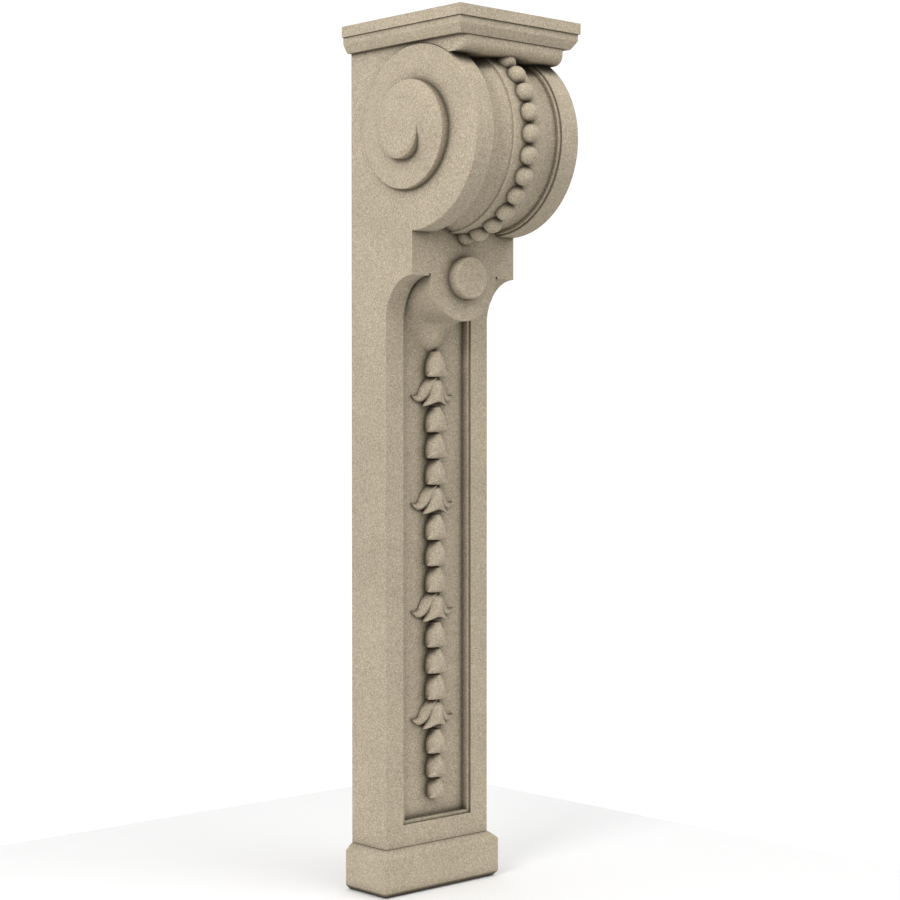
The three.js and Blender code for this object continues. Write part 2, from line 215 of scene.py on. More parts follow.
# %% [markdown]
# ### Sand and clouds
#
# Close up, the face is a sand of light and dark grains, one or two millimetres across, over a warm beige.
# From a step away it shows very soft clouds of tone. Plain noise would give blots, not grains, so Voronoi
# cells give each grain a tone of its own: a few dark, a few light, and most of them beige. A slow noise
# makes the clouds.

# %% Sand and clouds
STONE_DARK = (0.340, 0.281, 0.200, 1)
STONE_GROUND = (0.465, 0.394, 0.291, 1)
STONE_LIGHT = (0.622, 0.540, 0.420, 1)
GROUND_SPAN = (0.3, 0.7)
GRAIN_PER_M = 720
CLOUD_PER_M = 14
CLOUD_DETAIL = 6
CLOUD_SPAN = (0.3, 0.7)
CLOUD_TONES = (0.95, 1.05)

spot = stone_nodes.new("ShaderNodeTexCoord")
grain = stone_nodes.new("ShaderNodeTexVoronoi")
grain.inputs["Scale"].default_value = GRAIN_PER_M
wire(spot, "Object", grain, "Vector")
grain_tone = stone_nodes.new("ShaderNodeSeparateColor")
wire(grain, "Color", grain_tone, "Color")
sand = stone_nodes.new("ShaderNodeValToRGB")
sand.color_ramp.elements[0].color = STONE_DARK
sand.color_ramp.elements[1].color = STONE_LIGHT
for position in GROUND_SPAN:
    sand.color_ramp.elements.new(position).color = STONE_GROUND
wire(grain_tone, "Red", sand, "Fac")

cloud = stone_nodes.new("ShaderNodeTexNoise")
cloud.inputs["Scale"].default_value = CLOUD_PER_M
cloud.inputs["Detail"].default_value = CLOUD_DETAIL
wire(spot, "Object", cloud, "Vector")
clouded = scale_colour(sand, "Color", remap(cloud, "Fac", CLOUD_SPAN, CLOUD_TONES))
print("sand of", GRAIN_PER_M, "grains to a metre")

# %% [markdown]
# ### Shade, dust and dirt
#
# The stone is painted darker wherever it is sheltered, as painted shade. Hollows get it with grainy edges,
# upward faces in sheltered spots get more of it, and the narrowest crevices get a dark painted shade tone.
# All this could be painted by hand, but the Ambient Occlusion node finds the places by itself: it tells how
# open a point is within a given reach. A wide reach serves for the hollows and ledges, a short one for
# crevices.

# %% Painted shade in hollows, on sheltered ledges and in crevices
SHELTER_SAMPLES = 10
# Painted shade in hollows: its reach, the openness it spans, how dark it gets and how grainy its edge is.
HOLLOW_REACH = 0.02
HOLLOW_OPENNESS = (0.4, 1)
HOLLOW_SHADE = (0.45, 1)
HOLLOW_GRAIN = (-0.12, 0.12)
# Painted shade on upward faces in sheltered spots: how steep, how strong and how sheltered.
LEDGE_SHADE_SLOPE = (0, 0.8)
LEDGE_SHADE_STRENGTH = (0, 0.6)
LEDGE_SHADE_OPENNESS = (0.5, 0.95)
# Painted shade in the narrowest crevices: its reach, the openness it spans and its dark tone.
CREVICE_REACH = 0.01
CREVICE_OPENNESS = (0.22, 0.86)
CREVICE_SHADE_TONE = (0.075, 0.058, 0.036, 1)


def openness(reach):
    """How open a point is to its surroundings within a reach."""
    shelter = stone_nodes.new("ShaderNodeAmbientOcclusion")
    shelter.samples = SHELTER_SAMPLES
    shelter.inputs["Distance"].default_value = reach
    return shelter


# Painted shade: the colour is darkened where the wide reach finds a point sheltered, with grainy edges.
hollow = openness(HOLLOW_REACH)
gritty_hollow = stone_nodes.new("ShaderNodeMath")
wire(hollow, "AO", gritty_hollow, 0)
wire(remap(grain_tone, "Green", UNIT, HOLLOW_GRAIN), "Result", gritty_hollow, 1)
shaded = scale_colour(clouded, "Vector", remap(gritty_hollow, "Value", HOLLOW_OPENNESS, HOLLOW_SHADE))

skin = stone_nodes.new("ShaderNodeNewGeometry")
facing = stone_nodes.new("ShaderNodeSeparateXYZ")
wire(skin, "Normal", facing, "Vector")
# Painted shade, darker still on faces that look upwards where the wide reach finds them sheltered.
ledge_shade = stone_nodes.new("ShaderNodeMath")
ledge_shade.operation = "MULTIPLY"
wire(remap(facing, "Z", LEDGE_SHADE_SLOPE, LEDGE_SHADE_STRENGTH), "Result", ledge_shade, 0)
wire(remap(hollow, "AO", LEDGE_SHADE_OPENNESS, FLIPPED), "Result", ledge_shade, 1)
ledge_shaded = scale_colour(shaded, "Vector", remap(ledge_shade, "Value", UNIT, FLIPPED))

# Painted shade: a dark tone mixed into the colour where the short reach finds a point closed in.
crevice_shade = stone_nodes.new("ShaderNodeMix")
crevice_shade.data_type = "RGBA"
crevice_shade.inputs["A"].default_value = CREVICE_SHADE_TONE
wire(remap(openness(CREVICE_REACH), "AO", CREVICE_OPENNESS, UNIT), "Result", crevice_shade, "Factor")
wire(ledge_shaded, "Vector", crevice_shade, "B")
wire(crevice_shade, "Result", stone_shader, "Base Color")
print("shade reaches", HOLLOW_REACH, "m and dirt", CREVICE_REACH, "m")

# %% [markdown]
# ### Pits and sheen
#
# The mould leaves a dry face with fine pits between the grains. Real pits would need millions of faces, so a
# bump node only tilts the light on them. The sheen is weak and wide, as on any matt stone.

# %% Fine pits and a dry sheen
PIT_DETAIL = 3
PIT_STRENGTH = 0.25
PIT_DEPTH = 0.001
STONE_ROUGHNESS = 0.92
STONE_SPECULAR = 0.25

pits = stone_nodes.new("ShaderNodeTexNoise")
pits.inputs["Scale"].default_value = GRAIN_PER_M
pits.inputs["Detail"].default_value = PIT_DETAIL
wire(spot, "Object", pits, "Vector")
rough_face = stone_nodes.new("ShaderNodeBump")
rough_face.inputs["Strength"].default_value = PIT_STRENGTH
rough_face.inputs["Distance"].default_value = PIT_DEPTH
wire(pits, "Fac", rough_face, "Height")
wire(rough_face, "Normal", stone_shader, "Normal")
stone_shader.inputs["Roughness"].default_value = STONE_ROUGHNESS
stone_shader.inputs["Specular IOR Level"].default_value = STONE_SPECULAR
print("finish", stone_finish.name, "with", len(stone_nodes), "nodes")

# %% [markdown]
# ## Working in millimetres
#
# A mason measures in millimetres, from the wall, from the middle of the leg and from the floor, and so do
# the steps below. The frame is in metres, so one helper turns such measures into a point. The others do what
# a modeller does by hand over and over: go into edit mode, leave it with all faces turned outwards, apply a
# modifier, and soften arrises, since cast stone seldom leaves the mould with a knife edge. Blender narrows
# such a bevel on a whole piece to what its shortest edges leave room for.

# %% Measures, edit mode and modifiers
MM = 0.001
ARRIS_ANGLE = radians(28)
ARRIS_STEPS = 3


def place(across, forward, height):
    """A point given in millimetres across, forward from the wall and up from the floor."""
    return Vector((across * MM, -forward * MM, plinth_low.z + height * MM))


def millimetres(length):
    """A length of the frame in millimetres."""
    return length / MM


def start_piece(name):
    """Name the primitive just added and go into edit mode with all of it selected."""
    piece = bpy.context.object
    piece.name = name
    bpy.ops.object.mode_set(mode="EDIT")
    bpy.ops.mesh.select_all(action="SELECT")
    return piece


def end_edit():
    """Turn all faces outwards and leave edit mode."""
    bpy.ops.mesh.select_all(action="SELECT")
    bpy.ops.mesh.normals_make_consistent(inside=False)
    bpy.ops.object.mode_set(mode="OBJECT")


def use_modifier(piece, kind, **settings):
    """Add one modifier, set it and apply it."""
    bpy.context.view_layer.objects.active = piece
    modifier = piece.modifiers.new(kind, kind)
    for name, value in settings.items():
        setattr(modifier, name, value)
    bpy.ops.object.modifier_apply(modifier=modifier.name)


def soften_arrises(piece, width):
    """Round every sharp edge of a piece, to a width in millimetres where its short edges leave room."""
    bevel = {"limit_method": "ANGLE", "angle_limit": ARRIS_ANGLE, "miter_outer": "MITER_ARC"}
    use_modifier(piece, "BEVEL", width=width * MM, segments=ARRIS_STEPS, **bevel)


plinth_top = millimetres(plinth_high.z - plinth_low.z)
leg_top = millimetres(cap_low.z - plinth_low.z)
cap_top = millimetres(cap_high.z - plinth_low.z)
print("joints at", round(plinth_top, 2), "and", round(leg_top, 2), "mm, top at", round(cap_top, 2), "mm")

# %% [markdown]
# ## The plinth block
#
# The plinth is a plain block with a chamfered foot and sloping shoulders, cut flat at the wall. It could be
# a cube with bevelled edges, but its mouldings run round three sides only. So a rectangle is drawn at the
# foot and pulled upwards tier by tier, and each tier is resized about the wall line, which keeps the back
# flat.

# %% Plinth from stacked tiers
FOOT_CHAMFER = 7
SHOULDER_BOTTOM = 57.5
SHOULDER_TOP = 65.5
SHOULDER_INSET = 8.5
BED_INSET = 12.5
PLINTH_ARRIS = 1.6


def stack_tiers(name, half_width, depth, rows):
    """A rectangle pulled up through rows of (inset on three sides, height), its back kept on the wall."""
    tiers = [(half_width - inset, depth - inset, height) for inset, height in rows]
    first_half, first_depth, first_height = tiers[0]
    bpy.ops.mesh.primitive_plane_add(size=1)
    piece = start_piece(name)
    bpy.ops.transform.resize(value=(2 * first_half * MM, first_depth * MM, 1), center_override=(0, 0, 0))
    bpy.ops.transform.translate(value=place(0, first_depth / 2, first_height))
    for low, high in zip(tiers, tiers[1:]):
        rise = (0, 0, (high[2] - low[2]) * MM)
        bpy.ops.mesh.extrude_region_move(TRANSFORM_OT_translate={"value": rise})
        bpy.ops.transform.resize(value=(high[0] / low[0], high[1] / low[1], 1), center_override=(0, 0, 0))
    end_edit()
    return piece


plinth_rows = [(FOOT_CHAMFER, 0), (0, FOOT_CHAMFER), (0, SHOULDER_BOTTOM)]
plinth_rows += [(SHOULDER_INSET, SHOULDER_TOP), (BED_INSET, plinth_top)]
plinth = stack_tiers("plinth", millimetres(plinth_high.x), millimetres(-plinth_low.y), plinth_rows)
soften_arrises(plinth, PLINTH_ARRIS)
print("plinth", len(plinth.data.polygons), "faces")

# %% [markdown]
# ## The cap slab
#
# The cap is moulded on three sides: a swelling bevel at the bottom, an upright face, a small step outwards,
# and a plain band on top. A profile could be swept round it, but stacking works here as well as on the
# plinth, from the bed that lies on the leg up to the top face. A run of short tiers makes the swelling
# bevel. The step's ledge is level, so two tiers share one height and leave no room at the wall for softened
# edges. The cap's arrises stay crisp.

# %% Cap from stacked tiers
CAP_SOFFIT_INSET = 10.5
CAP_STEP = 2.75
CAP_BEVEL_HEIGHT = 12.5
CAP_BEVEL_BULGE = 0.3
CAP_BEVEL_STEPS = 8
CAP_BAND = 15.5

cap_rows = []
for step in range(CAP_BEVEL_STEPS + 1):
    share = step / CAP_BEVEL_STEPS
    inset = CAP_SOFFIT_INSET + (CAP_STEP - CAP_SOFFIT_INSET) * share
    cap_rows.append((inset - CAP_BEVEL_BULGE * sin(pi * share), leg_top + CAP_BEVEL_HEIGHT * share))
cap_rows += [(CAP_STEP, cap_top - CAP_BAND), (0, cap_top - CAP_BAND), (0, cap_top)]
cap = stack_tiers("cap", millimetres(cap_high.x), millimetres(-cap_low.y), cap_rows)
print("cap", len(cap.data.polygons), "faces")

# %% [markdown]
# ## Drawing lines
#
# Most forms of the leg begin as a line: a side profile, an outline or a section. It could be a curve object,
# but a line of mesh edges can be filled, pulled and spun in edit mode without a change of kind. A tiny plane
# is merged into one vertex, and that vertex is extruded from point to point.

# %% Arcs, drawn lines and pulled outlines
ARC_STEPS = 28


def arc(centre, radii, start, end, steps=ARC_STEPS):
    """Points of part of an ellipse in its own plane, from one angle to another, in degrees."""
    turns = [radians(start + (end - start) * step / steps) for step in range(steps + 1)]
    return [(centre[0] + radii[0] * cos(turn), centre[1] + radii[1] * sin(turn)) for turn in turns]


def draw_line(name, points):
    """One vertex extruded from point to point, left in edit mode with the whole line selected."""
    bpy.ops.object.select_all(action="DESELECT")
    bpy.ops.mesh.primitive_plane_add(size=MM)
    start_piece(name)
    bpy.ops.mesh.merge(type="CENTER")
    bpy.ops.object.mode_set(mode="OBJECT")
    piece = start_piece(name)
    bpy.ops.transform.translate(value=points[0])
    for here, there in zip(points, points[1:]):
        bpy.ops.mesh.extrude_region_move(TRANSFORM_OT_translate={"value": there - here})
    bpy.ops.mesh.select_all(action="SELECT")
    return piece


def pull_outline(name, points, push):
    """A drawn outline filled with one face and pulled into a block."""
    piece = draw_line(name, points)
    bpy.ops.mesh.edge_face_add()
    bpy.ops.mesh.extrude_region_move(TRANSFORM_OT_translate={"value": push})
    end_edit()
    return piece


print("arcs are drawn in", ARC_STEPS, "steps")

# %% [markdown]
# ## The leg and its sunk panel
#
# Seen from the side, the leg is a plain post that sweeps forward in a hollow cove to a deeper block. The
# panel on its front is sunk in two steps that follow the cove. Such a form could be built from a cube with
# many cuts, but its side profile says it all: the profile is drawn, filled and pulled across the width. Two
# cutters drawn in the same way sink the panel, and a Boolean modifier takes them out of the leg.

# %% Leg and sunk panel
LEG_HALF_WIDTH = 100
LEG_DEPTH = 76.5
BLOCK_DEPTH = 133
COVE_BOTTOM = 832
COVE_TOP = 894.5
PANEL_HALF_WIDTH = 67
PANEL_BOTTOM = 100
PANEL_STEP = 3.25
PANEL_LEDGE = 5
PANEL_DEPTH = 14
CUT_FRONT = 200


def pull_across(name, profile, half_width):
    """A side profile of (forward, height) points pulled across the width."""
    points = [place(-half_width, forward, height) for forward, height in profile]
    return pull_outline(name, points, (2 * half_width * MM, 0, 0))


def cove_line(depth):
    """The cove from the post up to the block, sunk by a depth."""
    radii = (BLOCK_DEPTH - LEG_DEPTH + depth, COVE_TOP + depth - COVE_BOTTOM)
    return arc((BLOCK_DEPTH, COVE_BOTTOM), radii, 180, 90)


def panel_cutter(name, depth, ledge):
    """What the panel takes out of the leg: upright below, and parallel to the cove above."""
    bottom = PANEL_BOTTOM + ledge
    front = [(CUT_FRONT, COVE_TOP + depth), (CUT_FRONT, bottom)]
    profile = [(LEG_DEPTH - depth, bottom)] + cove_line(depth) + front
    return pull_across(name, profile, PANEL_HALF_WIDTH - ledge)


def carve(piece, tool, operation):
    """Cut or join one piece with another, which is used up."""
    use_modifier(piece, "BOOLEAN", operation=operation, object=tool, solver="EXACT")
    bpy.data.objects.remove(tool)


leg_profile = [(0, plinth_top), (LEG_DEPTH, plinth_top)] + cove_line(0)
leg_profile += [(BLOCK_DEPTH, leg_top), (0, leg_top)]
leg = pull_across("leg", leg_profile, LEG_HALF_WIDTH)
carve(leg, panel_cutter("outer_step", PANEL_STEP, 0), "DIFFERENCE")
carve(leg, panel_cutter("field", PANEL_DEPTH, PANEL_LEDGE), "DIFFERENCE")
print("leg with panel:", len(leg.data.polygons), "faces")

# %% [markdown]
# ### The tongue
#
# A tongue with a round end hangs from the block over the panel's head. It could be a half disc and a box,
# but one outline, filled and pulled forward to the face of the block, has no seam. It is joined to the leg
# before the arrises are softened, so that they all get the same soft edge. The leg's shortest edges narrow it
# to about a fifth of a millimetre.

# %% Tongue over the panel's head
TONGUE_RADIUS = 64
TONGUE_CENTRE = 895
TONGUE_ROOT = 20
SUNK = 3
LEG_ARRIS = 1.2

tongue_line = [(-TONGUE_RADIUS, TONGUE_CENTRE + TONGUE_ROOT)]
tongue_line += arc((0, TONGUE_CENTRE), (TONGUE_RADIUS, TONGUE_RADIUS), 180, 360, 2 * ARC_STEPS)
tongue_line += [(TONGUE_RADIUS, TONGUE_CENTRE + TONGUE_ROOT)]
panel_field = LEG_DEPTH - PANEL_DEPTH
tongue_points = [place(across, panel_field - SUNK, height) for across, height in tongue_line]
tongue = pull_outline("tongue", tongue_points, (0, (panel_field - SUNK - BLOCK_DEPTH) * MM, 0))
carve(leg, tongue, "UNION")
soften_arrises(leg, LEG_ARRIS)
print("leg with panel and tongue:", len(leg.data.polygons), "faces")

# %% [markdown]
# ### The tier under the cap
#
# Under the cap the leg ends in a tier that reaches forward over the scroll. Its front corners are rounded in
# plan, and its lower edge rolls under. Two different bevels on a cube would meet badly at the corners, so
# the tier is a loft: its plan is drawn as a filled ring, extruded upwards level by level, and each new ring
# is put where the roll has it. It stays a part of its own until all the carving is joined.

# %% Tier lofted upwards
TIER_DEPTH = 239.5
TIER_BOTTOM = 1198
TIER_ROUND = 14
TIER_CORNER = 10
TIER_BACK = 60
TIER_STEPS = 10
HAIR = 0.05


def move_ends(piece, points):
    """Put the selected vertices, in their own order, at a row of points."""
    mesh = bmesh.from_edit_mesh(piece.data)
    ends = [vertex for vertex in mesh.verts if vertex.select]
    for vertex, point in zip(ends, points):
        vertex.co = point


def loft(name, rings):
    """A filled ring extruded through a row of further rings with as many points."""
    bpy.ops.object.select_all(action="DESELECT")
    bpy.ops.mesh.primitive_circle_add(vertices=len(rings[0]), radius=MM, fill_type="NGON")
    piece = start_piece(name)
    move_ends(piece, rings[0])
    for ring in rings[1:]:
        bpy.ops.mesh.extrude_region_move()
        move_ends(piece, ring)
    bmesh.update_edit_mesh(piece.data)
    end_edit()
    return piece


def tier_ring(inset, height):
    """Plan of the tier with its two rounded front corners, drawn back from the front by an inset."""
    half_width = LEG_HALF_WIDTH - HAIR
    corner = (half_width - TIER_CORNER, TIER_DEPTH - inset - TIER_CORNER)
    half = [(half_width, TIER_BACK)] + arc(corner, (TIER_CORNER, TIER_CORNER), 0, 90, TIER_STEPS)
    line = half + [(-across, forward) for across, forward in reversed(half)]
    return [place(across, forward, height) for across, forward in line]


quarter_round = arc((0, TIER_BOTTOM + TIER_ROUND), (TIER_ROUND, TIER_ROUND), -90, 0, TIER_STEPS)
tier_rows = [(TIER_ROUND - forward, height) for forward, height in quarter_round] + [(0, leg_top - HAIR)]
tier = loft("tier", [tier_ring(inset, height) for inset, height in tier_rows])
print("tier", len(tier.data.polygons), "faces")

# %% [markdown]
# ## The drum of the scroll
#
# The scroll is a thick drum that lies across the front of the leg. Its rim is plain at both sides, then
# steps down into a wide hollow flute, and a flat band runs round the middle. A turner would call this a
# lathe job, and Spin is Blender's lathe: the half profile is worked out from the end face to the middle,
# mirrored in the list of points, drawn, and spun about the axis. The part that would lie deep inside the leg
# is bisected away.

# %% Drum spun about its axis
SCROLL_RADIUS = 133.5
SCROLL_FORWARD = 132.5
SCROLL_HEIGHT = 1089.5
RIM_INNER = 67
RIM_STEP = 3.25
RIM_ROUND = 2.2
RIM_INNER_ROUND = 1
FLUTE_EDGE = 62
FLUTE_EDGE_ROUND = 0.8
FLUTE_DEPTH = 8.5
FLUTE_LIFT = 3.5
FLUTE_SAG = 5
FLUTE_STEPS = 14
BAND_HALF_WIDTH = 28
BAND_ROUND = 1.8
ROUND_STEPS = 4
SMALL_ROUND_STEPS = 3
DRUM_STEPS = 144
DRUM_WELD = 0.01
HIDDEN_DEPTH = 20
HIDDEN_TOP = 1210


def rounded_edge(across, radius, size, steps, inward=False):
    """A quarter round in place of a corner that faces the end of the drum, or inward, its middle."""
    centre = (across + size if inward else across - size, radius - size)
    start = 90 if inward else 0
    return arc(centre, (size, size), start, start + 90, steps)


end_face = LEG_HALF_WIDTH + HAIR
step_radius = SCROLL_RADIUS - RIM_STEP
half_profile = [(end_face, 0)]
half_profile += rounded_edge(end_face, SCROLL_RADIUS, RIM_ROUND, ROUND_STEPS)
half_profile += rounded_edge(RIM_INNER, SCROLL_RADIUS, RIM_INNER_ROUND, SMALL_ROUND_STEPS, inward=True)
half_profile += [(RIM_INNER, step_radius)]
half_profile += rounded_edge(FLUTE_EDGE, step_radius, FLUTE_EDGE_ROUND, SMALL_ROUND_STEPS, inward=True)
for step in range(FLUTE_STEPS + 1):
    share = step / FLUTE_STEPS
    depth = FLUTE_DEPTH + (FLUTE_LIFT - FLUTE_DEPTH) * share + FLUTE_SAG * sin(pi * share)
    half_profile.append((FLUTE_EDGE + (BAND_HALF_WIDTH - FLUTE_EDGE) * share, SCROLL_RADIUS - depth))
half_profile += rounded_edge(BAND_HALF_WIDTH, SCROLL_RADIUS, BAND_ROUND, ROUND_STEPS)
drum_profile = half_profile + [(-across, radius) for across, radius in reversed(half_profile)]

scroll_axis = place(0, SCROLL_FORWARD, SCROLL_HEIGHT)
drum_points = [place(across, SCROLL_FORWARD, SCROLL_HEIGHT + radius) for across, radius in drum_profile]
drum = draw_line("drum", drum_points)
bpy.ops.mesh.spin(steps=DRUM_STEPS, angle=2 * pi, center=scroll_axis, axis=(1, 0, 0))
bpy.ops.mesh.select_all(action="SELECT")
bpy.ops.mesh.remove_doubles(threshold=DRUM_WELD * MM)
hidden_planes = [(place(0, HIDDEN_DEPTH, 0), (0, 1, 0)), (place(0, 0, HIDDEN_TOP), (0, 0, 1))]
for point, outward in hidden_planes:
    bpy.ops.mesh.select_all(action="SELECT")
    bpy.ops.mesh.bisect(plane_co=point, plane_no=outward, use_fill=True, clear_outer=True)
end_edit()
print("drum", len(drum.data.polygons), "faces")

# %% [markdown]
# ## The row of beads
#
# A string of round beads runs over the middle band of the scroll, from its foot up to the tier. Each could be
# placed by hand, but they stand at even angles round one axis. So one ball is added at the start of the row,
# its buried side is cut off, and Spin with copies carries it round, so that every bead stands square to the
# drum.

# %% Beads carried round the drum
BEAD_COUNT = 12
BEAD_RADIUS = 14.25
BEAD_SEGMENTS = 36
BEAD_RINGS = 20
BEAD_CIRCLE = 135
FIRST_BEAD_ANGLE = 1.5
BEAD_PITCH = 12.57
BEAD_BURIED = 7

first_angle = radians(FIRST_BEAD_ANGLE)
row_angle = radians(BEAD_PITCH * (BEAD_COUNT - 1))
first_forward = SCROLL_FORWARD + BEAD_CIRCLE * sin(first_angle)
first_height = SCROLL_HEIGHT - BEAD_CIRCLE * cos(first_angle)
bead_cut = (0, 0, BEAD_BURIED * MM)
bpy.ops.object.select_all(action="DESELECT")
bpy.ops.mesh.primitive_uv_sphere_add(segments=BEAD_SEGMENTS, ring_count=BEAD_RINGS, radius=BEAD_RADIUS * MM)
beads = start_piece("beads")
bpy.ops.mesh.bisect(plane_co=bead_cut, plane_no=(0, 0, 1), use_fill=True, clear_outer=True)
bpy.ops.mesh.select_all(action="SELECT")
bpy.ops.transform.translate(value=place(0, first_forward, first_height))
bpy.ops.mesh.spin(steps=BEAD_COUNT - 1, dupli=True, angle=row_angle, center=scroll_axis, axis=(1, 0, 0))
end_edit()
print(BEAD_COUNT, "beads with", len(beads.data.polygons), "faces")

# %% [markdown]
# ## The volutes
#
# On each side face the scroll winds inwards: a ramp starts flush at the front, climbs as it turns, and ends
# on a raised round eye. The step between one turn and the next draws the spiral line. A flat spiral could be
# cut in with a Boolean, but here the height grows with the turn. First come the laws of the spiral: how far
# out it runs, how high it stands, and where the rim of the drum stops it.

# %% Laws of the spiral
VOLUTE_FORWARD = 134.25
VOLUTE_HEIGHT = 1102
VOLUTE_RADIUS = 151
VOLUTE_SHRINK = 0.55
VOLUTE_TIGHTER = 0.13
VOLUTE_START = 0.25
VOLUTE_END = 2.25
VOLUTE_FADE = 0.2
VOLUTE_RISE = 14
RIM_MARGIN = RIM_ROUND / 3


def ramp_height(turn):
    """Height of the ramp over the side face, which grows evenly with the turn."""
    return VOLUTE_RISE * (turn - VOLUTE_START)


def inner_height(turn):
    """Height of the ramp's inner edge, which lifts to the eye where the spiral line runs out."""
    share = min(max(1 + (turn - VOLUTE_END + 1) / VOLUTE_FADE, 0), 1)
    # A smooth step from 0 to 1.
    lift = share * share * (3 - 2 * share)
    return ramp_height(turn) + lift * (ramp_height(min(turn + 1, VOLUTE_END)) - ramp_height(turn))


def spiral_radius(turn):
    """The spiral closes faster once it winds round the eye."""
    last_turn = max(min(turn, VOLUTE_END) - VOLUTE_END + 1, 0)
    return VOLUTE_RADIUS * exp(-VOLUTE_SHRINK * min(turn, VOLUTE_END) - VOLUTE_TIGHTER * last_turn)


def rim_distance(turn):
    """How far the rounded rim of the drum is from the eye, in the direction of that turn."""
    forward = VOLUTE_FORWARD - SCROLL_FORWARD
    up = VOLUTE_HEIGHT - SCROLL_HEIGHT
    along = forward * sin(2 * pi * turn) - up * cos(2 * pi * turn)
    rim = SCROLL_RADIUS - RIM_MARGIN
    return (along ** 2 - forward ** 2 - up ** 2 + rim ** 2) ** 0.5 - along


print("the eye stands", ramp_height(VOLUTE_END), "mm out, radius", round(spiral_radius(VOLUTE_END), 1), "mm")

# %% [markdown]
# ### Sweeping the ramp
#
# The section of the ramp, with a rounded edge at the top of its step, is drawn once and extruded a few
# degrees at a time, and each new section is set smaller and higher. The inner edge of one turn falls exactly
# on the foot of the next, so merging doubles welds the turns together. Both sides are swept, since a
# mirrored copy would be turned inside out.

# %% Spiral ramps on both side faces
VOLUTE_ROOT = 6
VOLUTE_ROUND = 2
VOLUTE_WELD = 0.02
EDGE_CORNER = 0.3
TURN_STEPS = 72


def sweep(name, sections):
    """A drawn section extruded through a row of further sections with as many points."""
    piece = draw_line(name, sections[0])
    for section in sections[1:]:
        bpy.ops.mesh.extrude_region_move()
        move_ends(piece, section)
    bmesh.update_edit_mesh(piece.data)
    bpy.ops.mesh.select_all(action="SELECT")
    return piece


def ramp_section(step, side):
    """The step and the ramp behind it at one angle, from its foot to its inner edge."""
    turn = VOLUTE_START + step / TURN_STEPS
    outer = min(spiral_radius(turn), rim_distance(turn))
    inner = spiral_radius(turn + 1)
    top = ramp_height(turn)
    foot = -VOLUTE_ROOT if step <= TURN_STEPS else inner_height(turn - 1)
    edge = min(VOLUTE_ROUND, (top - foot) / 2, (outer - inner) / 2)
    corner = EDGE_CORNER * edge
    line = [(outer, foot), (outer, top - edge), (outer - corner, top - corner), (outer - edge, top)]
    line.append((inner, inner_height(turn)))
    # The first section lies flat under the side face, so the ramp starts from nothing.
    if step == 0:
        line = [(radius, -VOLUTE_ROOT) for radius, height in line]
    points = []
    for radius, height in line:
        forward = VOLUTE_FORWARD + radius * sin(2 * pi * turn)
        up = VOLUTE_HEIGHT - radius * cos(2 * pi * turn)
        points.append(place(side * (LEG_HALF_WIDTH + height), forward, up))
    return points


def volute(name, side):
    """The whole ramp on one side face, welded and closed at its back and its eye."""
    last_step = round((VOLUTE_END - VOLUTE_START) * TURN_STEPS)
    piece = sweep(name, [ramp_section(step, side) for step in range(last_step + 1)])
    bpy.ops.mesh.remove_doubles(threshold=VOLUTE_WELD * MM)
    bpy.ops.mesh.select_all(action="SELECT")
    bpy.ops.mesh.fill_holes(sides=0)
    end_edit()
    return piece


left_volute = volute("left_volute", -1)
right_volute = volute("right_volute", 1)
print("volutes", len(left_volute.data.polygons), "and", len(right_volute.data.polygons), "faces")

# %% [markdown]
# ## The boss
#
# A round boss with a soft edge sits on the tongue. It could be lathed like the drum, but it is so plain that
# a cylinder, turned to face forward and bevelled at its front edge, is enough. Its back is sunk into the
# tongue.

# %% Boss on the tongue
BOSS_RADIUS = 30
BOSS_CENTRE = 893
BOSS_RISE = 19
BOSS_ROUND = 3
BOSS_SIDES = 72
BOSS_EDGE_STEPS = 6
FRONT_MARGIN = 1


def pick(piece, test):
    """Select, in edit mode, what lies where a test on a vertex's place says."""
    bpy.ops.mesh.select_all(action="DESELECT")
    mesh = bmesh.from_edit_mesh(piece.data)
    for vertex in mesh.verts:
        vertex.select = test(vertex.co)
    mesh.select_flush(True)
    bmesh.update_edit_mesh(piece.data)


boss_length = (BOSS_RISE + SUNK) * MM
bpy.ops.object.select_all(action="DESELECT")
bpy.ops.mesh.primitive_cylinder_add(vertices=BOSS_SIDES, radius=BOSS_RADIUS * MM, depth=boss_length)
boss = start_piece("boss")
bpy.ops.transform.rotate(value=pi / 2, orient_axis="X", center_override=(0, 0, 0))
bpy.ops.transform.translate(value=place(0, BLOCK_DEPTH + (BOSS_RISE - SUNK) / 2, BOSS_CENTRE))
boss_front = place(0, BLOCK_DEPTH + BOSS_RISE - FRONT_MARGIN, 0).y
pick(boss, lambda point: point.y < boss_front)
bpy.ops.mesh.bevel(offset=BOSS_ROUND * MM, segments=BOSS_EDGE_STEPS, affect="EDGES")
end_edit()
print("boss", len(boss.data.polygons), "faces")

# %% [markdown]
# ## The flare
#
# Under the tongue the stone doesn't end in a corner: it flares out in a wide hollow, and in the middle it
# draws down into a short stem that carries the first bud, like the bell of a trumpet. It could be sculpted,
# but a loft of contours keeps it exact: a filled outline on the panel's field is extruded forward level by
# level, and each new outline is drawn in closer to the tongue. Its back lies inside the leg, where the
# joining step takes it away, and one round of subdivision smooths it.

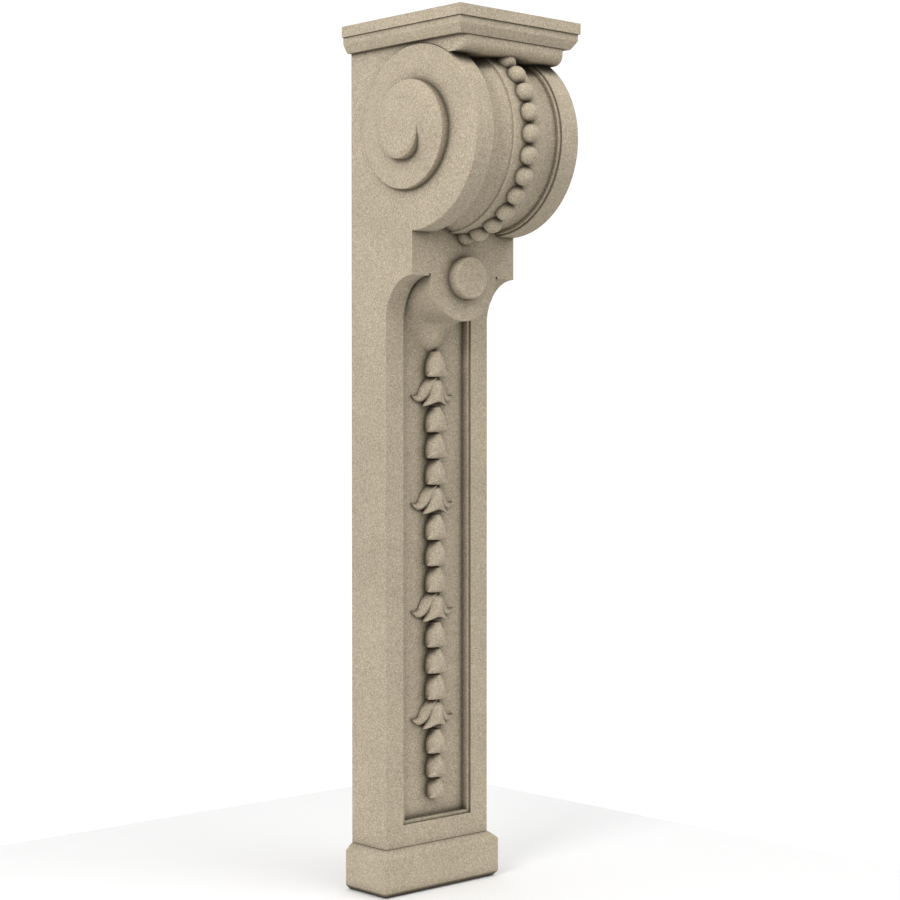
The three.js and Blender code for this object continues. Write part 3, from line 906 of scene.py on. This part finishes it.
# %% Flare with the stem
# Each contour: how far it stands out of the field, spreads round the tongue and reaches down in the middle.
FLARE_CONTOURS = [
    (-3, 25, 114), (-0.5, 21, 110.5), (0.5, 19.2, 109.5), (3, 15, 108), (6, 11.5, 106),
    (10, 8, 103), (13, 6, 99), (15.5, 5, 95), (18, 3.8, 89), (21, 2.9, 83.5),
    (26, 1.8, 77.5), (33, 0.9, 72.5), (43, 0.2, 68), (55, -0.4, 65), (66, -0.8, 63),
]
STEM_TURN = 0.25
STEM_TAPER = 0.005
STEM_RISE = 20.5
FLARE_HALF_WIDTH = 63
FLARE_STEPS = 64


def flare_ring(stand, spread, reach):
    """One contour of the flare, from the left of the tongue round below it to the right."""
    stem_turn = STEM_TURN - STEM_TAPER * min(stand, STEM_RISE)
    ring = []
    for step in range(FLARE_STEPS + 1):
        turn = pi + pi * step / FLARE_STEPS
        middle = exp(-((turn - 1.5 * pi) / stem_turn) ** 2)
        radius = TONGUE_RADIUS + spread + (reach - TONGUE_RADIUS - spread) * middle
        across = max(-FLARE_HALF_WIDTH, min(FLARE_HALF_WIDTH, radius * cos(turn)))
        ring.append(place(across, panel_field + stand, TONGUE_CENTRE + radius * sin(turn)))
    return ring


def smooth(piece):
    """One round of subdivision."""
    use_modifier(piece, "SUBSURF", levels=1, render_levels=1)


flare = loft("flare", [flare_ring(*contour) for contour in FLARE_CONTOURS])
smooth(flare)
print("flare", len(flare.data.polygons), "faces")

# %% [markdown]
# ## The husk drop
#
# A string of husks hangs down the panel: a bud, then four groups of one leafy husk and three buds, with
# smaller buds at the tail. Each bud is a round drop on a narrow neck, with a small tip at either side low
# down. It is undercut, narrower on the panel than in the round, so that a dark line runs along its side, and
# its last rings turn up inside, which leaves a hollow lip. A ball could be pulled into shape, but the bud is
# lofted like the flare, ring below ring, since each ring can then have its own width, rise and tips.

# %% One bud
BUD_LENGTH = 38.5
BUD_HALF_WIDTH = 19
BUD_RISE = 24
BUD_FOOT = 0.7
TIP_SPREAD = 10
TIP_HEIGHT = 0.76
TIP_SOFTNESS = 0.22
HUSK_OVERLAP = 4
HUSK_TOP = 785.5
RING_SIDES = 36
# Each ring: its share of the bud's length down, of its half width, of its rise and of its side tips.
BUD_RINGS = [
    (0, 0.34, 0.74, 0), (0.08, 0.38, 0.8, 0), (0.15, 0.5, 0.86, 0), (0.22, 0.65, 0.91, 0),
    (0.3, 0.8, 0.95, 0), (0.38, 0.92, 0.98, 0), (0.48, 0.99, 1, 0), (0.58, 1, 1, 0),
    (0.67, 1, 0.98, 0.1), (0.75, 0.99, 0.94, 0.4), (0.82, 0.96, 0.88, 0.9), (0.87, 0.92, 0.82, 1),
    (0.9, 0.86, 0.76, 0.6), (0.91, 0.78, 0.68, 0.1), (0.89, 0.62, 0.54, 0), (0.85, 0.45, 0.4, 0),
    (0.83, 0.2, 0.2, 0),
]


def ring_turns():
    """Angles of the points of one ring, from the right side over the front."""
    return [2 * pi * number / RING_SIDES for number in range(RING_SIDES)]


def bud_ring(down, wide, proud, tip):
    """One level ring of the bud, sunk into the panel at its back."""
    ring = []
    for turn in ring_turns():
        up = max(sin(turn), 0)
        point = TIP_SPREAD * tip * exp(-((up - TIP_HEIGHT) / TIP_SOFTNESS) ** 2)
        swell = BUD_FOOT + (1 - BUD_FOOT) * sin(pi / 2 * up)
        across = BUD_HALF_WIDTH * wide * swell * cos(turn) + copysign(point, cos(turn))
        stand = BUD_RISE * proud * up if up else SUNK * wide * sin(turn)
        ring.append(place(across, panel_field + stand, bud_top - bud_length * down))
    return ring


bud_top = HUSK_TOP + HUSK_OVERLAP
bud_length = BUD_LENGTH + HUSK_OVERLAP
bud = loft("bud", [bud_ring(*ring) for ring in BUD_RINGS])
smooth(bud)
print("bud", len(bud.data.polygons), "faces")

# %% [markdown]
# ### The petal of the leafy husk
#
# The leafy husk has a middle petal that spreads to two tips. It could be a bent sheet, but it is cast solid,
# so it is lofted like the bud. Its lip is arched, and its last rings turn up inside too, which leaves a dark
# hollow over the next bud.

# %% Middle petal
PETAL_LENGTH = 38.5
PETAL_HALF_WIDTH = 24
PETAL_RISE = 21.5
LIP_DROP = 3.6
LIP_LEVEL = 0.4
LIP_ARCH = 0.9
LIP_WAVES = 3
LIP_FLARE = 0.5
LIP_FLARE_TOP = 1.1
# Each ring: its share of the petal's length down, of its half width, of its rise and of the lip's shape.
PETAL_RINGS = [
    (0, 0.3, 0.45, 0), (0.08, 0.4, 0.72, 0), (0.18, 0.45, 0.89, 0), (0.3, 0.48, 0.97, 0),
    (0.44, 0.49, 1, 0), (0.58, 0.5, 1, 0.05), (0.7, 0.52, 0.98, 0.18), (0.8, 0.56, 0.95, 0.42),
    (0.88, 0.6, 0.92, 0.7), (0.95, 0.64, 0.88, 0.92), (1, 0.66, 0.82, 1), (0.98, 0.58, 0.7, 1),
    (0.9, 0.48, 0.54, 0.7), (0.84, 0.2, 0.3, 0.4),
]


def petal_ring(down, wide, proud, lip):
    """One ring of the petal; near the lip it is arched, lifted in front and spread to a tip at the sides."""
    ring = []
    for turn in ring_turns():
        up = max(sin(turn), 0)
        from_front = abs(pi / 2 - turn) if up else pi / 2
        spread = wide + LIP_FLARE * lip * sin(pi * min(up / LIP_FLARE_TOP, 1))
        stand = PETAL_RISE * proud * up if up else SUNK * wide * sin(turn)
        drop = LIP_DROP * lip * (LIP_LEVEL - LIP_ARCH * cos(LIP_WAVES * from_front))
        height = petal_top - PETAL_LENGTH * down - drop
        ring.append(place(PETAL_HALF_WIDTH * spread * cos(turn), panel_field + stand, height))
    return ring


leaf_top = HUSK_TOP - BUD_LENGTH
petal_top = leaf_top + HUSK_OVERLAP
petal = loft("petal", [petal_ring(*ring) for ring in PETAL_RINGS])
smooth(petal)
print("petal", len(petal.data.polygons), "faces")

# %% [markdown]
# ### The side leaves
#
# A leaf on either side of the petal sweeps down and out to an upturned point. A flat leaf could be bent
# along a curve, but this one is round on its face and changes its width all along. So it is a loft of oval
# rings along a stroke, thin at the root, full in the middle and pointed at the tip.

# %% Two side leaves
LEAF_ROOT = (2, 4)
LEAF_SHOULDER = (15, -4)
LEAF_BELLY = (16, -39)
LEAF_TIP = (41, -23)
LEAF_FULL = 10.6
LEAF_POINT = 0.5
LEAF_ROOT_WIDTH = 0.15
LEAF_SWELL = 1.8
LEAF_TAPER = 3.2
LEAF_ROOT_RISE = 15.6
LEAF_TIP_RISE = 3.5
LEAF_TILT = 0.35
LEAF_STEPS = 22


def bezier(share, points):
    """Point and direction on a cubic stroke of (across, height) points."""
    rest = 1 - share
    start, first, second, end = (Vector(point) for point in points)
    near_start = rest ** 3 * start + 3 * rest ** 2 * share * first
    point = near_start + 3 * rest * share ** 2 * second + share ** 3 * end
    way = rest ** 2 * (first - start) + 2 * rest * share * (second - first) + share ** 2 * (end - second)
    return point, way.normalized()


def side_leaf(name, side):
    """Oval rings along a stroke from the husk's root to its upturned tip."""
    rings = []
    for step in range(LEAF_STEPS + 1):
        share = step / LEAF_STEPS
        centre, way = bezier(share, leaf_stroke)
        fullness = LEAF_ROOT_WIDTH + (1 - LEAF_ROOT_WIDTH) * sin(pi / 2 * min(share * LEAF_SWELL, 1))
        half_width = LEAF_FULL * fullness * (1 - share ** LEAF_TAPER) + LEAF_POINT
        rise = LEAF_ROOT_RISE + (LEAF_TIP_RISE - LEAF_ROOT_RISE) * share
        ring = []
        for turn in ring_turns():
            spot = centre + half_width * cos(turn) * Vector((-way.y, way.x))
            stand = (rise * (1 - LEAF_TILT * cos(turn)) if sin(turn) > 0 else SUNK) * sin(turn)
            ring.append(place(side * spot.x, panel_field + stand, spot.y))
        rings.append(ring)
    return loft(name, rings)


leaf_points = (LEAF_ROOT, LEAF_SHOULDER, LEAF_BELLY, LEAF_TIP)
leaf_stroke = [(across, leaf_top + height) for across, height in leaf_points]
left_leaf = side_leaf("left_leaf", -1)
right_leaf = side_leaf("right_leaf", 1)
print("leaves", len(left_leaf.data.polygons), "and", len(right_leaf.data.polygons), "faces")

# %% [markdown]
# ### Hanging the drop
#
# The husks hang one below the other, each from under the lip of the one above. All could be modelled anew,
# but on the real drop they repeat, so the one bud and the one leafy husk are copied, each copy with a mesh
# of its own. Copies are moved in edit mode, so that every object keeps its origin at the frame's origin. The
# tail buds are a little smaller.

# %% Copies down the panel
HUSK_GROUPS = 4
LEAF_LENGTH = 42.5
FULL_SCALES = (1, 1, 1)
TAIL_SCALES = (0.95, 0.91, 0.79)


def hang_copy(source, first_top, top, scale=1):
    """A copy of a husk with a mesh of its own, hung from another height at another size."""
    bpy.ops.object.select_all(action="DESELECT")
    source.select_set(True)
    bpy.context.view_layer.objects.active = source
    bpy.ops.object.duplicate()
    piece = start_piece(source.name + "_copy")
    hook = place(0, panel_field, first_top)
    bpy.ops.transform.resize(value=(scale, 1, scale), center_override=hook)
    bpy.ops.transform.translate(value=(0, 0, (top - first_top) * MM))
    bpy.ops.object.mode_set(mode="OBJECT")
    return piece


husks = [bud, petal, left_leaf, right_leaf]
top = leaf_top
for group in range(HUSK_GROUPS):
    if group:
        husks += [hang_copy(part, leaf_top, top) for part in (petal, left_leaf, right_leaf)]
    top -= LEAF_LENGTH
    scales = TAIL_SCALES if group == HUSK_GROUPS - 1 else FULL_SCALES
    for scale in scales:
        husks.append(hang_copy(bud, HUSK_TOP, top, scale))
        top -= BUD_LENGTH * scale
print("husk drop of", len(husks), "parts, lowest at", round(top, 1), "mm")

# %% [markdown]
# ## One casting
#
# On the real corbel the leg, the scroll and all the carving are one stone. The parts could be left lying in
# each other, but then every hidden face would stay. A Boolean modifier set to Union takes them in one by
# one, keeps the outer skin alone and leaves one closed mesh. It needs parts that are closed and don't cross
# themselves, and no two faces in one plane: that is why the tier is a hair narrower than the leg, and the
# drum a hair wider. The volutes come last: joined earlier, a few of their thin edges came open when the next
# part was taken in. The count of open edges shows whether the mesh is closed.

# %% Join the carving to the leg
for part in [tier, drum, beads, boss, flare, *husks, left_volute, right_volute]:
    carve(leg, part, "UNION")
leg_mesh = bmesh.new()
leg_mesh.from_mesh(leg.data)
open_edges = sum(1 for edge in leg_mesh.edges if len(edge.link_faces) != 2)
leg_triangles = sum(len(face.verts) - 2 for face in leg_mesh.faces)
leg_volume = round(leg_mesh.calc_volume(), 6)
leg_mesh.free()
print("leg as one casting:", leg_triangles, "triangles,", open_edges, "open edges, volume", leg_volume)

# %% [markdown]
# ## Finish and frame
#
# All three stones get the same finish. Faces that meet at a low angle are shaded smooth. That alone would
# bend the light on large flat faces beside their softened arrises, so weighted normals keep them flat. Then
# each stone rides on the frame's one body and stands in for its solid.

# %% Finish of the three stones
SMOOTH_ANGLE = radians(35)
NORMAL_WEIGHT = 100

for stone, node in ((plinth, "plinth_block"), (leg, "scroll_leg"), (cap, "cap_slab")):
    stone.data.materials.clear()
    stone.data.materials.append(stone_finish)
    bpy.ops.object.select_all(action="DESELECT")
    stone.select_set(True)
    bpy.context.view_layer.objects.active = stone
    bpy.ops.object.shade_smooth_by_angle(angle=SMOOTH_ANGLE)
    use_modifier(stone, "WEIGHTED_NORMAL", weight=NORMAL_WEIGHT, keep_sharp=True)
    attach(stone, "root")
    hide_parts(node)
print("stones dressed:", [stone.name for stone in (plinth, leg, cap)])
